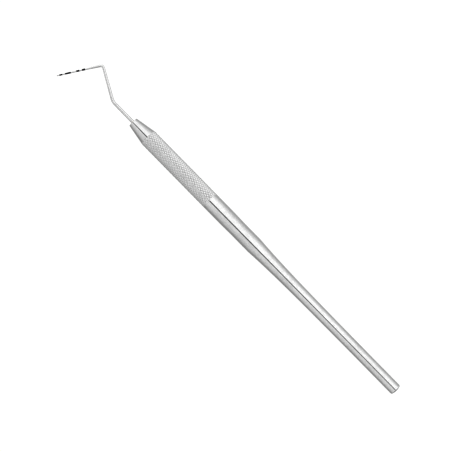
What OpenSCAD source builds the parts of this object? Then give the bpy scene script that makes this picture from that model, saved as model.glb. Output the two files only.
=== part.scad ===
// Single-ended graduated dental probe with a hollow knurled handle.
// The probe lies along the X axis with its working end towards +X. +Z is up when it lies on a table,
// and the bent working end is in a plane parallel to the table, at the height of the handle's axis.
// The origin is on the table, under the middle of the probe's bounding box.

/* [Handle] */
// Length of the handle, from the tail's end to the mouth of the nose cone
handle_len = 129; // [115:0.5:140]
// Diameter of the barrel, which is also the diameter over the knurl
barrel_d = 6.25; // [5.8:0.05:7]
// Length of the cylindrical barrel, knurl included
barrel_len = 52.2; // [45:0.1:58]
// Diameter of the slim tail
tail_d = 4.15; // [3.8:0.05:4.6]
// Length of the slim tail
tail_len = 18; // [12:0.5:22]
// Wall thickness of the tube
wall = 0.6; // [0.5:0.05:0.7]

/* [Nose cone] */
// Length of the visible cone
cone_len = 7.3; // [6:0.1:9]
// Diameter of the cone's mouth
mouth_d = 3.5; // [3:0.1:4.5]
// Length of the spigot pressed into the tube
spigot_len = 8; // [6:0.5:10]

/* [Working end] */
// Distance from the mouth to the corner of the first bend
shank_len = 9.9; // [8:0.1:14]
// Distance between the corners of the two bends
leg_len = 13; // [10:0.1:16]
// Distance from the corner of the second bend to the end of the tip
tip_len = 16.3; // [15.5:0.1:18]
// Angle of the leg from the handle's axis
leg_angle = 29; // [20:1:40]
// Angle of the tip from the handle's axis, towards the other side
tip_angle = 58.4; // [45:0.1:65]
// Diameter of the wire at the mouth
shank_d = 1.2; // [1.1:0.05:1.5]
// Diameter of the wire in the first bend
elbow_d = 1.1; // [0.96:0.02:1.1]
// Diameter of the wire in the second bend
knee_d = 0.9; // [0.8:0.02:0.96]
// Diameter of the tip at its rounded end
tip_end_d = 0.4; // [0.36:0.02:0.5]

/* [Marks] */
// Depth of the grooves that hold the black bands
mark_depth = 0.05; // [0.03:0.01:0.08]

/* [Hidden] */

round_fn = 96;
wire_fn = 48;
arc_steps = 6;
steel = [0.78, 0.79, 0.80];
braze_silver = [0.82, 0.80, 0.72];
band_black = [0.06, 0.06, 0.06];

// Handle tube, measured along X from the tail's end
barrel_r = barrel_d / 2;
tail_r = tail_d / 2;
bore_r = barrel_r - wall;
tail_bore_r = tail_r - wall;
knurl_front = handle_len - cone_len;
barrel_back = knurl_front - barrel_len;
shoulder_drop = 0.1;
shoulder_run = 0.3;
flare_top_r = barrel_r - shoulder_drop;
flare_top_x = barrel_back - shoulder_run;
flare_fade = 14;
flare_steps = 22;
tail_edge_r = 0.45;
edge_break = 0.08;

// Nose cone
mouth_r = mouth_d / 2;
mouth_edge = 0.12;
spigot_back = knurl_front - spigot_len;
spigot_chamfer = 0.3;
hollow_r = 1.4;
hollow_len = 2;
web = 1;

// Tail plug
plug_len = 3.5;
plug_chamfer = 0.25;

// Tang in its socket, and the braze between them
braze_gap = 0.07;
tang_end_gap = 0.3;
tang_r = shank_d / 2;
tang_chamfer = 0.15;
socket_r = tang_r + braze_gap;
socket_len = cone_len + spigot_len - hollow_len - web;
tang_len = socket_len - tang_end_gap;
braze_len = tang_len - 2;
fillet_r = 0.3;

// Bends and straights of the wire
elbow_r = elbow_d / 2;
elbow_bend = 3.4;
knee_r = knee_d / 2;
knee_bend = 1;
knee_turn = leg_angle + tip_angle;
bend_bite = 0.05;
bend_thinning = 0.005;
elbow_tangent = elbow_bend * tan(leg_angle / 2);
knee_tangent = knee_bend * tan(knee_turn / 2);
shank_run = shank_len - elbow_tangent;
leg_run = leg_len - elbow_tangent - knee_tangent;
tip_run = tip_len - knee_tangent;
leg_dir = [cos(leg_angle), -sin(leg_angle)];
tip_dir = [cos(tip_angle), sin(tip_angle)];
elbow_corner = [handle_len + shank_len, 0];
knee_corner = elbow_corner + leg_len * leg_dir;
elbow_start = [handle_len + shank_run, 0];
elbow_end = elbow_corner + elbow_tangent * leg_dir;
knee_start = knee_corner - knee_tangent * leg_dir;
knee_end = knee_corner + knee_tangent * tip_dir;
tip_end = knee_corner + tip_len * tip_dir;

// Calibrated tip, measured back from its rounded end
tip_end_r = tip_end_d / 2;
tip_taper = 0.009;
scale_len = 11;

// Place of the tail's end in the finished part
knee_centre = knee_start + knee_bend * [sin(leg_angle), cos(leg_angle)];
x_high = tip_end.x + tip_end_r * (1 - cos(tip_angle));
y_high = tip_end.y + tip_end_r * (1 - sin(tip_angle));
y_low = knee_centre.y - knee_bend - knee_r + bend_thinning;
tail_place = [-x_high / 2, -(y_high + y_low) / 2, barrel_r];

// Radius of the calibrated tip at a distance m from its end
function scale_r(m) = tip_end_r + tip_taper * m;

// Outer radius of the flare, which swells from the slim tail to the barrel's shoulder
flare_low = exp((tail_len - flare_top_x) / flare_fade);
function flare_r(x) = tail_r + (flare_top_r - tail_r)
    * (exp((x - flare_top_x) / flare_fade) - flare_low) / (1 - flare_low);
function flare_x(i) = tail_len + (flare_top_x - tail_len) * i / flare_steps;

// Quarter circle of [radius, x] points, from (r, x + size) back to (r - size, x)
function round_edge(r, x, size) = [
    for (i = [0 : arc_steps])
        let (a = 90 * i / arc_steps)
        [r - size + size * sin(a), x + size - size * cos(a)]];

// Turns a profile of [radius, x] points about the handle's axis
module turned(points) {
    translate(tail_place)
        rotate([0, 90, 0])
            rotate_extrude($fn = round_fn)
                polygon(points);
}

// Turns a profile about the tip's axis, with its x measured back from the tip's end
module on_tip(points) {
    translate(tail_place + [tip_end.x, tip_end.y, 0])
        rotate([0, 0, tip_angle + 180])
            rotate([0, 90, 0])
                rotate_extrude($fn = wire_fn)
                    polygon(points);
}

// Round wire from one point in the plane of the working end, tapering along a straight run
module wire_run(start, angle, r1, r2, len) {
    translate(tail_place + [start.x, start.y, 0])
        rotate([0, 0, angle])
            rotate([0, 90, 0])
                cylinder(r1 = r1, r2 = r2, h = len, $fn = wire_fn);
}

// Round wire bent about a point in the plane of the working end.
// It is a hair thinner than the straights and runs a little way into them, so that they join as one solid
module wire_bend(centre, from_angle, turn, bend_r, r) {
    bite_angle = bend_bite / bend_r * 180 / PI;
    translate(tail_place + [centre.x, centre.y, 0])
        rotate([0, 0, from_angle - bite_angle])
            rotate_extrude(angle = turn + 2 * bite_angle, $fn = round_fn)
                translate([bend_r, 0])
                    circle(r = r - bend_thinning, $fn = wire_fn);
}

// Swaged steel tube: slim tail, flare, and the barrel with the knurled grip at its front
module handle_tube() {
    flare_out = [for (i = [0 : flare_steps]) [flare_r(flare_x(i)), flare_x(i)]];
    flare_in = [for (i = [flare_steps : -1 : 0]) [flare_r(flare_x(i)) - wall, flare_x(i)]];
    color(steel)
        turned(concat(
            round_edge(tail_r, 0, tail_edge_r),
            flare_out,
            [[barrel_r, barrel_back],
             [barrel_r, knurl_front - edge_break],
             [barrel_r - edge_break, knurl_front],
             [bore_r, knurl_front],
             [bore_r, barrel_back]],
            flare_in,
            [[tail_bore_r, 0]]));
}

// Turned nose: the smooth cone, its spigot in the tube and the blind socket for the wire
module nose_cone() {
    color(steel)
        difference() {
            turned([
                [0, spigot_back],
                [bore_r - spigot_chamfer, spigot_back],
                [bore_r, spigot_back + spigot_chamfer],
                [bore_r, knurl_front],
                [barrel_r - edge_break, knurl_front],
                [mouth_r, handle_len - mouth_edge],
                [mouth_r - mouth_edge, handle_len],
                [0, handle_len]]);
            wire_run([handle_len - socket_len, 0], 0, socket_r, socket_r, socket_len + 1);
            wire_run([spigot_back - 1, 0], 0, hollow_r, hollow_r, hollow_len + 1);
        }
}

// Plug that seals the tail, flush with the tube's end
module tail_plug() {
    color(steel)
        turned([
            [0, 0],
            [tail_bore_r, 0],
            [tail_bore_r, plug_len - plug_chamfer],
            [tail_bore_r - plug_chamfer, plug_len],
            [0, plug_len]]);
}

// One wire: tang, shank, elbow, leg, knee, and the tapered tip with a groove for each black band
module probe_wire() {
    color(steel) {
        turned([
            [0, handle_len - tang_len],
            [tang_r - tang_chamfer, handle_len - tang_len],
            [tang_r, handle_len - tang_len + tang_chamfer],
            [tang_r, handle_len],
            [elbow_r, elbow_start.x],
            [0, elbow_start.x]]);
        wire_bend(elbow_start - [0, elbow_bend], 90 - leg_angle, leg_angle, elbow_bend, elbow_r);
        wire_run(elbow_end, -leg_angle, elbow_r, knee_r, leg_run);
        wire_bend(knee_centre, -90 - leg_angle, knee_turn, knee_bend, knee_r);
        on_tip(concat(
            round_edge(tip_end_r, 0, tip_end_r),
            groove(1, 2), groove(3, 5), groove(7, 8), groove(9, 10),
            [[scale_r(scale_len), scale_len],
             [knee_r, tip_run],
             [0, tip_run]]));
    }
}

// Profile points of the groove between two graduations, in millimetres from the tip's end
function groove(a, b) = [
    [scale_r(a), a],
    [scale_r(a) - mark_depth, a],
    [scale_r(b) - mark_depth, b],
    [scale_r(b), b]];

// Black resin band that fills the groove between two graduations
module mark(a, b) {
    color(band_black)
        on_tip(groove(a, b));
}

// Silver braze: a thin sleeve round the tang, and a fillet between the mouth and the shank
module braze_ring() {
    shank_slope = (elbow_r - tang_r) / shank_run;
    top_r = tang_r + shank_slope * fillet_r;
    fillet = [
        for (i = [0 : arc_steps])
            let (a = 90 * i / arc_steps)
            [tang_r + fillet_r - (tang_r + fillet_r - top_r) * sin(a), handle_len + fillet_r - fillet_r * cos(a)]];
    color(braze_silver)
        turned(concat(
            [[tang_r, handle_len - braze_len],
             [socket_r, handle_len - braze_len],
             [socket_r, handle_len]],
            fillet,
            [[tang_r, handle_len]]));
}

handle_tube();
nose_cone();
tail_plug();
probe_wire();
braze_ring();
mark(1, 2);  // mark_1_to_2
mark(3, 5);  // mark_3_to_5
mark(7, 8);  // mark_7_to_8
mark(9, 10);  // mark_9_to_10
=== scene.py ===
"""Looks of the graduated dental probe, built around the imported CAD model. Lengths in the shape code are in
millimetres, measured along the handle from the tail's end, and pieces are made in metres in the row frame."""

import math

import bmesh
import bpy
import numpy as np
from mathutils import Matrix, Vector


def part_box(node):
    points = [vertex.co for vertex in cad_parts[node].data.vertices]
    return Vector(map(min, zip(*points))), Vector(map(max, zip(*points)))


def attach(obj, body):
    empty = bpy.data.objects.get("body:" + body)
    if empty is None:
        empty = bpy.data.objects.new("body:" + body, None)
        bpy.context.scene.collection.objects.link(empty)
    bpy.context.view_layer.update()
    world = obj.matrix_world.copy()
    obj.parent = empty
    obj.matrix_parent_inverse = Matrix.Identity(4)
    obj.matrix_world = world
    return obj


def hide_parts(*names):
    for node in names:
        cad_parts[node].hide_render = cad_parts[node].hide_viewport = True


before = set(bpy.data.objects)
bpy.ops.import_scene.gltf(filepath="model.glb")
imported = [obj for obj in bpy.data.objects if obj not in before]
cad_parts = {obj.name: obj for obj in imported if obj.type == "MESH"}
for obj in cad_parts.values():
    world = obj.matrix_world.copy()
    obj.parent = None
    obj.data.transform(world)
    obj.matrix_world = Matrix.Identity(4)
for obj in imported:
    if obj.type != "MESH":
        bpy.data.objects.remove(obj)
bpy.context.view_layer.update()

MM = 0.001
# A ring with a smaller radius than this is one point on the axis
ON_AXIS = 1e-9

# Where the CAD model puts the handle's axis and the tail's end
tube_low, tube_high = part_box("handle_tube")
ORIGIN = Vector((tube_low.x, (tube_low.y + tube_high.y) / 2, (tube_low.z + tube_high.z) / 2))

# Handle
HANDLE_LEN = 129.0
CONE_LEN = 7.3
KNURL_FRONT = HANDLE_LEN - CONE_LEN
BARREL_R = 3.125
WAIST_R = 3.025
TAIL_R = 2.075
WALL = 0.6
EDGE_BREAK = 0.08
BORE_R = BARREL_R - WALL
TAIL_BORE_R = TAIL_R - WALL
TAIL_LEN = 18.0
TAIL_EDGE = 0.45
TAIL_PLAIN = 3
SHOULDER = 69.5
SHOULDER_EDGE = 0.3
SHOULDER_REST = 0.6
WAIST_FRONT = 77.0
BARREL_BACK = 83.5
FLARE_FADE = 14.0

# Knurl: two crossing families of grooves with round-backed diamonds between them
KNURL_STARTS = 18
KNURL_PITCH = 1.47
KNURL_SAMPLES = 14
KNURL_DEPTH = 0.145
KNURL_POWER = 3
KNURL_BACK = 92.2
KNURL_FADE = 1.4
AROUND = KNURL_STARTS * KNURL_SAMPLES
CREASE = math.radians(20)

# Nose cone, with the socket for the wire
MOUTH_R = 1.75
MOUTH_EDGE = 0.12
SPIGOT_BACK = KNURL_FRONT - 8.0
SPIGOT_CHAMFER = 0.3
HOLLOW_R = 1.4
HOLLOW_LEN = 2.0
TANG_R = 0.6
SOCKET_R = 0.67
SOCKET_LEN = 12.3
TANG_LEN = 12.0
TANG_CHAMFER = 0.15
BRAZE_LEN = 10.0
FILLET_R = 0.3
PLUG_LEN = 3.5
PLUG_CHAMFER = 0.25
PLUG_EDGE = 0.04

# Wire
ELBOW_R = 0.545
KNEE_R = 0.445
ELBOW_BEND = 3.4
KNEE_BEND = 1.0
SHANK_LEN = 9.9
LEG_LEN = 13.0
TIP_LEN = 16.3
LEG_ANGLE = math.radians(29)
TIP_ANGLE = math.radians(58.4)
TIP_R = 0.2
TIP_TAPER = 0.009
SCALE_LEN = 11.0
MARK_DEPTH = 0.05
MARK_EDGE = 0.02
MARKS = ((1, 2), (3, 5), (7, 8), (9, 10))

# Vertices round each piece that is not the knurled handle
NOSE_AROUND = 160
PLUG_AROUND = 96
BRAZE_AROUND = 72
WIRE_AROUND = 48


def arc(centre_r, centre_x, radius, start, end, steps):
    """Points [r, x] on a circle, from one angle to another in degrees, where 0 is outward and 90 is towards +X."""
    turns = [math.radians(start + (end - start) * i / steps) for i in range(steps + 1)]
    return [(centre_r + radius * math.cos(t), centre_x + radius * math.sin(t)) for t in turns]


def skin(rings, loop, diagonal=None):
    """Faces that join each ring of vertex numbers to the next. A ring of one vertex is a point on the axis.
    diagonal(i, j) says how a cell is split: 1 or -1 for the two diagonals, 0 for a quad."""
    faces = []
    pairs = list(zip(rings, rings[1:])) + ([(rings[-1], rings[0])] if loop else [])
    for i, (a, b) in enumerate(pairs):
        count = max(len(a), len(b))
        for j in range(count):
            k = (j + 1) % count
            if len(a) == 1:
                faces.append((a[0], b[k], b[j]))
            elif len(b) == 1:
                faces.append((a[j], a[k], b[0]))
            else:
                way = diagonal(i, j) if diagonal else 0
                if way == 0:
                    faces.append((a[j], a[k], b[k], b[j]))
                elif way == 1:
                    faces += [(a[j], a[k], b[k]), (a[j], b[k], b[j])]
                else:
                    faces += [(a[j], a[k], b[j]), (a[k], b[k], b[j])]
    return faces


def make_piece(name, points, faces, grain, groove=None):
    """A smooth-shaded mesh riding on the root body. grain holds each vertex's place along and round the piece,
    for the materials, and groove how deep it lies in the knurl, from 0 to 1."""
    mesh = bpy.data.meshes.new(name)
    mesh.from_pydata(np.asarray(points, float).tolist(), [], faces)
    mesh.validate()
    shaped = bmesh.new()
    shaped.from_mesh(mesh)
    bmesh.ops.recalc_face_normals(shaped, faces=shaped.faces)
    shaped.to_mesh(mesh)
    shaped.free()
    mesh.shade_smooth()
    mesh.set_sharp_from_angle(angle=CREASE)
    held = mesh.attributes.new("grain", "FLOAT_VECTOR", "POINT")
    held.data.foreach_set("vector", np.asarray(grain, np.float32).ravel())
    depth = mesh.attributes.new("groove", "FLOAT", "POINT")
    depth.data.foreach_set("value", np.asarray(np.zeros(len(points)) if groove is None else groove, np.float32))
    piece = bpy.data.objects.new(name, mesh)
    bpy.context.scene.collection.objects.link(piece)
    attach(piece, "root")
    return piece


def turned(name, profile, count, loop=False, groove=None, diagonal=None):
    """Solid turned about the handle's axis. profile holds (r, x); r may be an array with one radius per vertex."""
    angles = np.arange(count) * 2 * math.pi / count
    points, rings, depths = [], [], []
    for row, (r, x) in enumerate(profile):
        radii = np.broadcast_to(np.asarray(r, float), (count,))
        on_axis = radii.max() < ON_AXIS
        first = len(points)
        for k in range(1 if on_axis else count):
            points.append((x, radii[k] * math.cos(angles[k]), radii[k] * math.sin(angles[k])))
            depths.append(groove[row][k] if groove is not None else 0.0)
        rings.append(list(range(first, len(points))))
    grain = np.array(points) * MM
    return make_piece(name, grain + np.array(ORIGIN), skin(rings, loop, diagonal), grain, depths)


def flare_r(x):
    """Outer radius of the flare, which swells from the slim tail to the waist."""
    low = math.exp((TAIL_LEN - SHOULDER) / FLARE_FADE)
    return TAIL_R + (WAIST_R - TAIL_R) * (math.exp((x - SHOULDER) / FLARE_FADE) - low) / (1 - low)


def ease(t):
    """Smooth step from 0 to 1."""
    t = min(1.0, max(0.0, t))
    return t * t * (3 - 2 * t)


def knurl_depth(x):
    """Depth of the grooves at each vertex of a ring, as a share of the full depth."""
    turn = np.arange(AROUND) / KNURL_SAMPLES
    reach = ease((x - (KNURL_BACK - KNURL_FADE)) / KNURL_FADE)
    cut = np.zeros(AROUND)
    for way in (1, -1):
        phase = turn + way * (KNURL_FRONT - EDGE_BREAK - x) / KNURL_PITCH
        off = 2 * np.abs(phase - np.round(phase))
        cut = np.maximum(cut, (1 - off) ** KNURL_POWER)
    return np.clip(cut - (1 - reach), 0, 1)


def build_handle():
    """The tube: slim tail, flare, waist, smooth barrel, knurled grip and the bore inside."""
    outer = arc(TAIL_R - TAIL_EDGE, TAIL_EDGE, TAIL_EDGE, -90, 0, 8)
    outer += [(TAIL_R, x) for x in np.linspace(TAIL_PLAIN, TAIL_LEN, 6)]
    flare = [(flare_r(x), x) for x in np.linspace(TAIL_LEN, SHOULDER - SHOULDER_EDGE, 60)]
    outer += flare[1:] + [(WAIST_R, SHOULDER)]
    outer += [(WAIST_R, x) for x in np.linspace(SHOULDER + SHOULDER_REST, WAIST_FRONT, 5)]
    for x in np.linspace(WAIST_FRONT, BARREL_BACK, 14)[1:]:
        share = ease((x - WAIST_FRONT) / (BARREL_BACK - WAIST_FRONT))
        outer.append((WAIST_R + (BARREL_R - WAIST_R) * share, x))
    step = KNURL_PITCH / KNURL_SAMPLES
    count = int((KNURL_FRONT - KNURL_BACK + KNURL_FADE) / step) + 2
    grid = [KNURL_FRONT - EDGE_BREAK - step * i for i in range(count, -1, -1)]
    outer += [(BARREL_R, x) for x in np.linspace(BARREL_BACK, grid[0], 5)[1:-1]]
    profile = [(r, x) for r, x in outer]
    cuts = [np.zeros(AROUND) for _ in outer]
    first = len(profile)
    for x in grid:
        cut = knurl_depth(x)
        profile.append((BARREL_R - KNURL_DEPTH * cut, x))
        cuts.append(cut)
    edge = np.minimum(BARREL_R - EDGE_BREAK, profile[-1][0] - EDGE_BREAK / 2)
    profile.append((edge, KNURL_FRONT))
    cuts.append(cuts[-1])
    inner = [(BORE_R, KNURL_FRONT), (BORE_R, SHOULDER)]
    inner += [(r - WALL, x) for r, x in flare[::-3]]
    inner += [(TAIL_BORE_R, TAIL_LEN), (TAIL_BORE_R, PLUG_EDGE), (TAIL_BORE_R + PLUG_EDGE, 0)]
    profile += inner
    cuts += [np.zeros(AROUND) for _ in inner]

    def diagonal(i, j):
        """Splits a cell of the knurl along the groove that crosses it."""
        if not first <= i < first + count:
            return 0
        return 1 if (j + count - i + first) % KNURL_SAMPLES == 0 else -1

    return turned("knurled_handle", profile, AROUND, loop=True, groove=cuts, diagonal=diagonal)


def build_nose():
    """The turned cone, its spigot in the tube and the blind socket for the wire."""
    base_r = BARREL_R - EDGE_BREAK
    slope = math.atan2(base_r - MOUTH_R, CONE_LEN - MOUTH_EDGE)
    rim = arc(MOUTH_R - MOUTH_EDGE, HANDLE_LEN - MOUTH_EDGE, MOUTH_EDGE, 90, math.degrees(slope), 6)
    rim_r, rim_x = rim[-1]
    cone = [(rim_r + (base_r - rim_r) * t, rim_x + (KNURL_FRONT - rim_x) * t) for t in np.linspace(0, 1, 12)]
    profile = [
        (0, HANDLE_LEN - SOCKET_LEN),
        (SOCKET_R, HANDLE_LEN - SOCKET_LEN),
        (SOCKET_R, HANDLE_LEN),
        *rim,
        *cone[1:],
        (BORE_R, KNURL_FRONT),
        (BORE_R, SPIGOT_BACK + SPIGOT_CHAMFER),
        (BORE_R - SPIGOT_CHAMFER, SPIGOT_BACK),
        (HOLLOW_R, SPIGOT_BACK),
        (HOLLOW_R, SPIGOT_BACK + HOLLOW_LEN),
        (0, SPIGOT_BACK + HOLLOW_LEN),
    ]
    return turned("nose_cone_turned", profile, NOSE_AROUND)


def build_plug():
    """The plug in the tail, with a fine edge that leaves a hairline round it."""
    edge_r = TAIL_BORE_R - PLUG_EDGE
    profile = [(0, 0)] + [(edge_r * t, 0) for t in np.linspace(0.1, 1, 10)]
    profile += [
        (TAIL_BORE_R, PLUG_EDGE),
        (TAIL_BORE_R, PLUG_LEN - PLUG_CHAMFER),
        (TAIL_BORE_R - PLUG_CHAMFER, PLUG_LEN),
        (0, PLUG_LEN),
    ]
    return turned("tail_plug_turned", profile, PLUG_AROUND)


def build_braze():
    """The braze round the tang, with its fillet at the mouth."""
    fillet = [
        (TANG_R + FILLET_R - FILLET_R * math.sin(t), HANDLE_LEN + FILLET_R - FILLET_R * math.cos(t))
        for t in np.linspace(0, math.pi / 2, 12)
    ]
    profile = [(TANG_R, HANDLE_LEN - BRAZE_LEN), (SOCKET_R, HANDLE_LEN - BRAZE_LEN), (SOCKET_R, HANDLE_LEN)]
    profile += fillet
    return turned("braze_fillet", profile, BRAZE_AROUND, loop=True)


def along(point, angle, length):
    """The point that lies a length away from another, in a direction."""
    return (point[0] + math.cos(angle) * length, point[1] + math.sin(angle) * length)


def tip_r(m):
    """Radius of the calibrated tip at a distance m from its end."""
    return TIP_R + TIP_TAPER * m


elbow_tangent = ELBOW_BEND * math.tan(LEG_ANGLE / 2)
knee_tangent = KNEE_BEND * math.tan((LEG_ANGLE + TIP_ANGLE) / 2)
elbow_corner = (HANDLE_LEN + SHANK_LEN, 0.0)
knee_corner = along(elbow_corner, -LEG_ANGLE, LEG_LEN)
tip_point = along(knee_corner, TIP_ANGLE, TIP_LEN)
tip_run = TIP_LEN - knee_tangent


def wire_stations():
    """Rings along the wire, each ((x, y), direction, radius), from the tang's end to the rounded tip."""
    tang_back = HANDLE_LEN - TANG_LEN
    rings = [((tang_back, 0), 0, 0.0), ((tang_back, 0), 0, TANG_R - TANG_CHAMFER)]
    rings.append(((tang_back + TANG_CHAMFER, 0), 0, TANG_R))
    elbow_start = (elbow_corner[0] - elbow_tangent, 0.0)
    rings.append(((HANDLE_LEN, 0), 0, TANG_R))
    for t in np.linspace(0, 1, 8)[1:]:
        x = HANDLE_LEN + (elbow_start[0] - HANDLE_LEN) * t
        rings.append(((x, 0), 0, TANG_R + (ELBOW_R - TANG_R) * t))
    centre = (elbow_start[0], -ELBOW_BEND)
    for t in np.linspace(0, 1, 25)[1:]:
        a = -LEG_ANGLE * t
        rings.append((along(centre, a + math.pi / 2, ELBOW_BEND), a, ELBOW_R))
    leg_start = rings[-1][0]
    leg_run = LEG_LEN - elbow_tangent - knee_tangent
    for t in np.linspace(0, 1, 16)[1:]:
        rings.append((along(leg_start, -LEG_ANGLE, leg_run * t), -LEG_ANGLE, ELBOW_R + (KNEE_R - ELBOW_R) * t))
    knee_start = rings[-1][0]
    centre = along(knee_start, -LEG_ANGLE + math.pi / 2, KNEE_BEND)
    for t in np.linspace(0, 1, 41)[1:]:
        a = -LEG_ANGLE + (LEG_ANGLE + TIP_ANGLE) * t
        rings.append((along(centre, a - math.pi / 2, KNEE_BEND), a, KNEE_R))
    back = []
    for t in np.linspace(0, 1, 10)[1:]:
        m = tip_run + (SCALE_LEN - tip_run) * t
        back.append((m, KNEE_R + (tip_r(SCALE_LEN) - KNEE_R) * t))
    for a, b in reversed(MARKS):
        for m, depth in ((b, 0), (b, MARK_DEPTH), (a, MARK_DEPTH), (a, 0)):
            back.append((m, tip_r(m) - depth))
    for t in np.linspace(0, math.pi / 2, 10):
        back.append((TIP_R * (1 - math.sin(t)), TIP_R * math.cos(t)))
    rings += [(along(tip_point, TIP_ANGLE, -m), TIP_ANGLE, max(0.0, r)) for m, r in back]
    return rings


def swept(name, rings, count, loop=False):
    """Round bar through rings ((x, y), direction, radius), in the plane of the working end."""
    points, grain, numbers, run, last = [], [], [], 0.0, None
    for (x, y), angle, r in rings:
        run += math.dist((x, y), last) if last else 0.0
        last = (x, y)
        first = len(points)
        for k in range(1 if r < ON_AXIS else count):
            turn = 2 * math.pi * k / count
            side, up = r * math.cos(turn), r * math.sin(turn)
            points.append((x - math.sin(angle) * side, y + math.cos(angle) * side, up))
            grain.append((run, side, up))
        numbers.append(list(range(first, len(points))))
    return make_piece(name, np.array(points) * MM + np.array(ORIGIN), skin(numbers, loop), np.array(grain) * MM)


def build_band(a, b):
    """Black band in its groove, flush with the tip's taper and with softened edges."""
    ring = [
        (a, tip_r(a) - MARK_DEPTH),
        (a, tip_r(a) - MARK_EDGE),
        (a + MARK_EDGE, tip_r(a)),
        *[(m, tip_r(m)) for m in np.linspace(a, b, 8)[1:-1]],
        (b - MARK_EDGE, tip_r(b)),
        (b, tip_r(b) - MARK_EDGE),
        (b, tip_r(b) - MARK_DEPTH),
    ]
    rings = [(along(tip_point, TIP_ANGLE, -m), TIP_ANGLE, r) for m, r in ring]
    return swept(f"band_{a}_to_{b}", rings, WIRE_AROUND, loop=True)


class Nodes:
    """The node tree of a material or a world, with short ways to add and join nodes."""

    def __init__(self, owner):
        owner.use_nodes = True
        self.owner = owner
        self.tree = owner.node_tree
        self.tree.nodes.clear()

    def add(self, kind, **values):
        node = self.tree.nodes.new(kind)
        for key, value in values.items():
            setattr(node, key, value)
        return node

    def join(self, a, b):
        self.tree.links.new(a, b)

    def attribute(self, name, output):
        return self.add("ShaderNodeAttribute", attribute_name=name).outputs[output]

    def noise(self, coordinates, scale, size=1.0, detail=2.0, rough=0.5, turn=(0, 0, 0)):
        """Noise that is stretched by a scale for each axis."""
        mapping = self.add("ShaderNodeMapping")
        mapping.inputs["Scale"].default_value = scale
        mapping.inputs["Rotation"].default_value = turn
        self.join(coordinates, mapping.inputs["Vector"])
        noise = self.add("ShaderNodeTexNoise")
        noise.inputs["Scale"].default_value = size
        noise.inputs["Detail"].default_value = detail
        noise.inputs["Roughness"].default_value = rough
        self.join(mapping.outputs["Vector"], noise.inputs["Vector"])
        return noise.outputs[0]

    def ramp(self, value, low, high, from_low=0.0, from_high=1.0):
        """Value carried from one range to another and kept inside it."""
        node = self.add("ShaderNodeMapRange", clamp=True)
        for key, number in (("From Min", from_low), ("From Max", from_high), ("To Min", low), ("To Max", high)):
            node.inputs[key].default_value = number
        self.join(value, node.inputs["Value"])
        return node.outputs["Result"]

    def math(self, operation, *values):
        node = self.add("ShaderNodeMath", operation=operation)
        for socket, value in zip(node.inputs, values):
            if isinstance(value, (int, float)):
                socket.default_value = value
            else:
                self.join(value, socket)
        return node.outputs[0]

    def colour(self, share, first, second):
        """Mix of two colours by a share from 0 to 1."""
        node = self.add("ShaderNodeMix", data_type="RGBA")
        self.join(share, node.inputs["Factor"])
        node.inputs["A"].default_value = (*first, 1)
        node.inputs["B"].default_value = (*second, 1)
        return node.outputs["Result"]

    def bump(self, height, distance, strength=1.0, under=None):
        node = self.add("ShaderNodeBump")
        node.inputs["Distance"].default_value = distance
        node.inputs["Strength"].default_value = strength
        self.join(height, node.inputs["Height"])
        if under is not None:
            self.join(under, node.inputs["Normal"])
        return node.outputs["Normal"]


def new_material(name):
    """Node tree of a new material that ends in a Principled shader."""
    n = Nodes(bpy.data.materials.new(name))
    n.shader = n.add("ShaderNodeBsdfPrincipled")
    n.join(n.shader.outputs["BSDF"], n.add("ShaderNodeOutputMaterial").inputs["Surface"])
    return n


def steel(name, light, dark, polish, lines, line_depth):
    """Polished stainless steel with machining lines across or along the piece, mottling, hairline scratches, cloudy
    patches left by handling, and rougher metal in the bottoms of the knurl, whose colour is darkened there by
    painted shade."""
    n = new_material(name)
    grain = n.attribute("grain", "Vector")
    groove = n.attribute("groove", "Fac")
    clouds = n.noise(grain, (160, 220, 220), detail=4)
    mottle = n.noise(grain, (900, 1500, 1500), detail=3, rough=0.6)
    fine = n.noise(grain, lines, detail=3, rough=0.65)
    hair = n.noise(grain, (900, 9000, 9000), detail=2, turn=(0.0, 0.5, 0.9))
    scratch = n.ramp(hair, 0, 1, 0.70, 0.76)
    # How deep a point lies in a knurl groove: this sets the painted shade in the grooves and their higher roughness
    groove_shade_and_rough = n.ramp(groove, 0, 1, 0.15, 0.9)
    tone = n.math("ADD", n.ramp(clouds, 0, 0.25, 0.3, 0.7), n.ramp(mottle, 0, 0.6, 0.3, 0.7))
    tone = n.math("ADD", tone, n.ramp(fine, 0, 0.35, 0.3, 0.7))
    # Painted shade: the colour gets darker towards the bottoms of the knurl's grooves
    tone = n.math("ADD", tone, n.math("MULTIPLY", groove_shade_and_rough, 0.45))
    n.join(n.colour(tone, light, dark), n.shader.inputs["Base Color"])
    low, high = polish
    rough = n.math("ADD", n.ramp(clouds, low, high, 0.3, 0.7), n.math("MULTIPLY", scratch, 0.1))
    rough = n.math("ADD", rough, n.math("MULTIPLY", groove_shade_and_rough, 0.12))
    rough = n.math("ADD", rough, n.ramp(fine, -0.02, 0.03))
    n.join(rough, n.shader.inputs["Roughness"])
    n.shader.inputs["Metallic"].default_value = 1.0
    normal = n.bump(fine, line_depth)
    normal = n.bump(scratch, line_depth, 0.5, under=normal)
    n.join(normal, n.shader.inputs["Normal"])
    return n.owner


def resin():
    """Matte black resin with a slightly uneven surface and paler, scuffed spots."""
    n = new_material("band_black")
    grain = n.attribute("grain", "Vector")
    speckle = n.noise(grain, (5000, 5000, 5000), detail=4)
    scuff = n.ramp(n.noise(grain, (2400, 2400, 2400), detail=3), 0, 1, 0.55, 0.8)
    n.join(n.colour(scuff, (0.012, 0.012, 0.014), (0.06, 0.06, 0.062)), n.shader.inputs["Base Color"])
    n.join(n.ramp(speckle, 0.35, 0.6), n.shader.inputs["Roughness"])
    n.join(n.bump(speckle, 0.00001, 0.6), n.shader.inputs["Normal"])
    return n.owner


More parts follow.
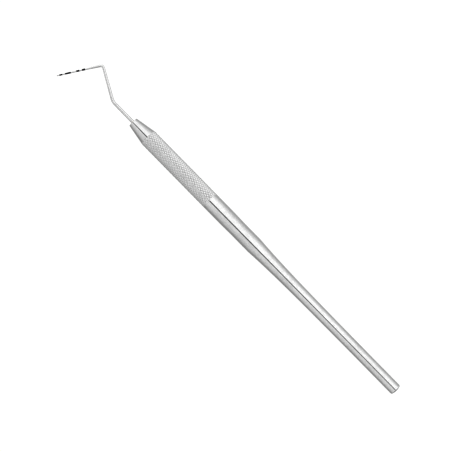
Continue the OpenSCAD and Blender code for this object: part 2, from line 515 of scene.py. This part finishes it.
# Light round the handle's axis, by the angle in degrees from straight up, positive towards -Y
PANELS = (
    (-180, 0.46),
    (-125, 0.45),
    (-102, 0.535),
    (-84, 0.65),
    (-53, 0.72),
    (-22, 0.765),
    (-14, 0.765),
    (-11, 0.2),
    (-2.5, 0.2),
    (1, 0.9),
    (46, 0.9),
    (56, 0.87),
    (67, 0.785),
    (84, 0.72),
    (102, 0.62),
    (118, 0.56),
    (141, 0.56),
    (180, 0.46),
)
PANEL_GAIN = 1.5

# Light from beyond the two ends of the handle: where it takes over, by the X of a direction, how bright it is on the
# +Y and on the -Y side and between which directions it changes, how far it falls off straight beyond the tail and
# straight beyond the tip, and how far it dims below the horizon
TAIL_SIDE = (-0.36, -0.50)
TIP_SIDE = (0.51, 0.62)
END_LIGHT = (0.68, 0.97)
END_SPREAD = (-0.7, 0.35)
END_FALL = (-0.60, -0.92)
END_FAR = 0.28
MOUTH_FALL = (0.87, 0.96)
MOUTH_FAR = 0.45
END_GROUND = 0.4
GROUND_EDGE = (-0.75, -0.2)


def studio():
    """Soft studio surroundings: a large bright panel on one side of the handle, a dimmer one on the other, a dark
    gap between them overhead and a grey table below. The camera sees only a white background."""
    world = bpy.data.worlds.new("studio")
    bpy.context.scene.world = world
    n = Nodes(world)
    axes = n.add("ShaderNodeSeparateXYZ")
    n.join(n.add("ShaderNodeTexCoord").outputs["Generated"], axes.inputs[0])
    x, z = axes.outputs["X"], axes.outputs["Z"]
    right = n.math("MULTIPLY", axes.outputs["Y"], -1)
    turn = n.math("ARCTAN2", right, z)
    panels = n.add("ShaderNodeValToRGB")
    stops = panels.color_ramp.elements
    while len(stops) < len(PANELS):
        stops.new(0.5)
    for stop, (degrees, light) in zip(stops, PANELS):
        stop.position = (degrees + 180) / 360
        stop.color = (light, light, light, 1)
    n.join(n.ramp(turn, 0, 1, -math.pi, math.pi), panels.inputs[0])
    share = n.math("ADD", n.ramp(x, 0, 1, *TAIL_SIDE), n.ramp(x, 0, 1, *TIP_SIDE))
    fall = n.math("MULTIPLY", n.ramp(x, 1, END_FAR, *END_FALL), n.ramp(x, 1, MOUTH_FAR, *MOUTH_FALL))
    ends = n.math("MULTIPLY", n.ramp(right, *END_LIGHT, *END_SPREAD), fall)
    ends = n.math("MULTIPLY", ends, n.ramp(z, END_GROUND, 1, *GROUND_EDGE))
    blend = n.add("ShaderNodeMix", data_type="RGBA")
    n.join(share, blend.inputs["Factor"])
    n.join(panels.outputs[0], blend.inputs["A"])
    n.join(ends, blend.inputs["B"])
    lit = n.add("ShaderNodeBackground")
    lit.inputs["Strength"].default_value = PANEL_GAIN
    n.join(blend.outputs["Result"], lit.inputs["Color"])
    white = n.add("ShaderNodeBackground")
    white.inputs["Color"].default_value = (1, 1, 1, 1)
    mix = n.add("ShaderNodeMixShader")
    n.join(n.add("ShaderNodeLightPath").outputs["Is Camera Ray"], mix.inputs[0])
    n.join(lit.outputs[0], mix.inputs[1])
    n.join(white.outputs[0], mix.inputs[2])
    n.join(mix.outputs[0], n.add("ShaderNodeOutputWorld").inputs["Surface"])


# Half the side of the floor in metres, and how brightly it glows
FLOOR_HALF = 6.0
FLOOR_GLOW = 0.93


def build_floor():
    """Plain pale floor under the probe."""
    mesh = bpy.data.meshes.new("floor")
    corners = [(x * FLOOR_HALF, y * FLOOR_HALF, 0) for x, y in ((-1, -1), (1, -1), (1, 1), (-1, 1))]
    mesh.from_pydata(corners, [], [(0, 1, 2, 3)])
    floor = bpy.data.objects.new("floor", mesh)
    bpy.context.scene.collection.objects.link(floor)
    n = new_material("floor_white")
    n.shader.inputs["Base Color"].default_value = (0.1, 0.1, 0.1, 1)
    n.shader.inputs["Roughness"].default_value = 0.9
    n.shader.inputs["Emission Color"].default_value = (1, 1, 1, 1)
    n.shader.inputs["Emission Strength"].default_value = FLOOR_GLOW
    mesh.materials.append(n.owner)
    floor.visible_glossy = False


# Where the camera stands, from the mouth of the nose cone and the handle's axis, and how far it is turned
CAMERA_AT = (-47.86, 2.20, 431.87)
CAMERA_TURN = math.radians(-134.457)


def place_camera():
    """Straight down on the probe, turned so that its working end points to the upper left."""
    data = bpy.data.cameras.new("camera")
    data.lens, data.sensor_width = 100, 36
    data.clip_start, data.clip_end = 0.01, 20
    camera = bpy.data.objects.new("camera", data)
    bpy.context.scene.collection.objects.link(camera)
    right = Vector((math.cos(CAMERA_TURN), math.sin(CAMERA_TURN), 0))
    up = Vector((-math.sin(CAMERA_TURN), math.cos(CAMERA_TURN), 0))
    back = Vector((0, 0, 1))
    x, y, z = CAMERA_AT
    place = ORIGIN + Vector((HANDLE_LEN + x, y, z)) * MM
    turned_to = Matrix((right, up, back)).transposed().to_4x4()
    camera.matrix_world = Matrix.Translation(place) @ turned_to
    bpy.context.scene.camera = camera


handle_steel = steel("handle_steel", (0.795,) * 3, (0.675,) * 3, (0.07, 0.13), (9000, 260, 260), 0.0000014)
nose_steel = steel("nose_steel", (0.775,) * 3, (0.655,) * 3, (0.06, 0.11), (11000, 260, 260), 0.0000012)
wire_steel = steel("wire_steel", (0.81,) * 3, (0.69,) * 3, (0.09, 0.16), (700, 14000, 14000), 0.000001)
braze_silver = steel("braze_silver", (0.79, 0.78, 0.75), (0.64, 0.62, 0.58), (0.12, 0.22), (3000,) * 3, 0.000002)
band_black = resin()

for piece, node, slot, material in (
    (build_handle(), "handle_tube", "handle_steel", handle_steel),
    (build_nose(), "nose_cone", "nose_steel", nose_steel),
    (build_plug(), "tail_plug", "handle_steel", handle_steel),
    (build_braze(), "braze_ring", "braze_silver", braze_silver),
    (swept("probe_wire_drawn", wire_stations(), WIRE_AROUND), "probe_wire", "wire_steel", wire_steel),
    *[(build_band(a, b), f"mark_{a}_to_{b}", "band_black", band_black) for a, b in MARKS],
):
    piece.data.materials.append(material)
    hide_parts(node)

studio()
build_floor()
place_camera()

# No tone curve, so that a band narrower than two pixels still shows as dark as it is
bpy.context.scene.view_settings.view_transform = "Raw"
